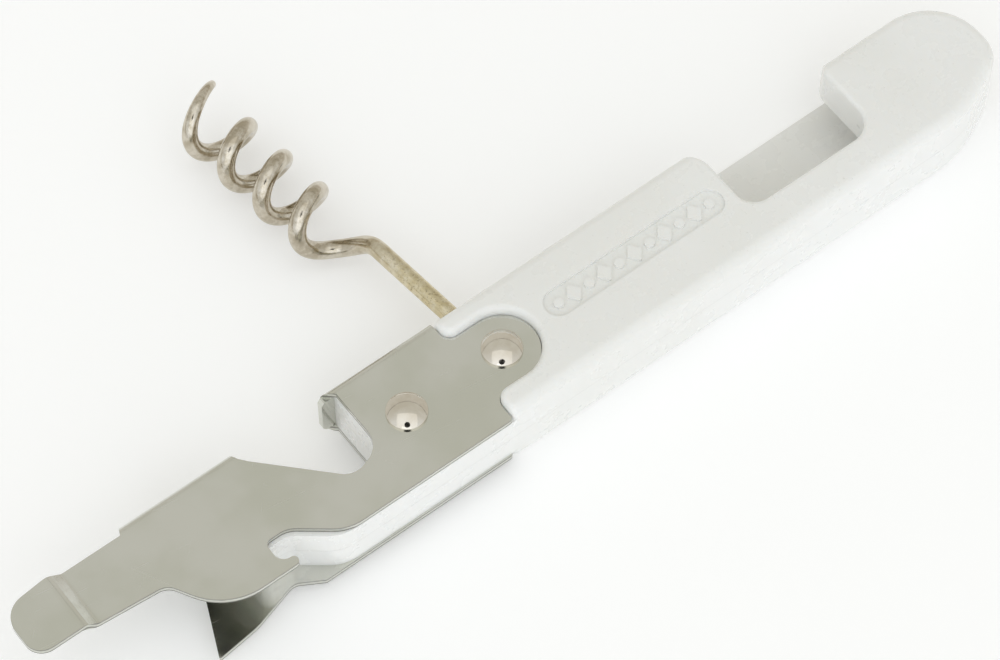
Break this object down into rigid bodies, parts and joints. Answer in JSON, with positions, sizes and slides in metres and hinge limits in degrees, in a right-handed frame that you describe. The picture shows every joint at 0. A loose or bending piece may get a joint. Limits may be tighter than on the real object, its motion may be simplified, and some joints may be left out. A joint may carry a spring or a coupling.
{
  "type": "folding corkscrew",
  "caption": "Flat opener with a moulded handle, a riveted steel channel with cap lifter, claw and hook, and a folding wire worm.",
  "frame": {"origin": "middle of the handle's flat far face, which the tool rests on, 48 mm from the worm's pivot axis", "axes": "+X along the handle away from the opener end, +Y towards the open side of the worm's channel, +Z parallel to the pivot, from the resting face to the badge face"},
  "size_m": [0.197, 0.0876, 0.0167],
  "materials": {
    "handle_plastic": "satin-gloss white moulding",
    "channel_steel": "bright plated sheet steel, lightly scuffed",
    "worm_wire": "nickel plated wire, worn brassy on the shank",
    "rivet_metal": "polished nickel"
  },
  "bodies": {
    "frame": {"handle_body": "handle_plastic", "opener_channel": "channel_steel", "pivot_rivet_barrel": "rivet_metal", "pivot_rivet_stud": "rivet_metal", "frame_rivet_barrel": "rivet_metal", "frame_rivet_stud": "rivet_metal"},
    "worm": {"worm": "worm_wire"}
  },
  "joints": [
    {"name": "worm_fold", "type": "hinge", "parent": "frame", "child": "worm", "pos_m": [-0.048, 0, 0.0082], "axis": [0, 0, 1], "range_deg": [-96.5, 12]}
  ]
}
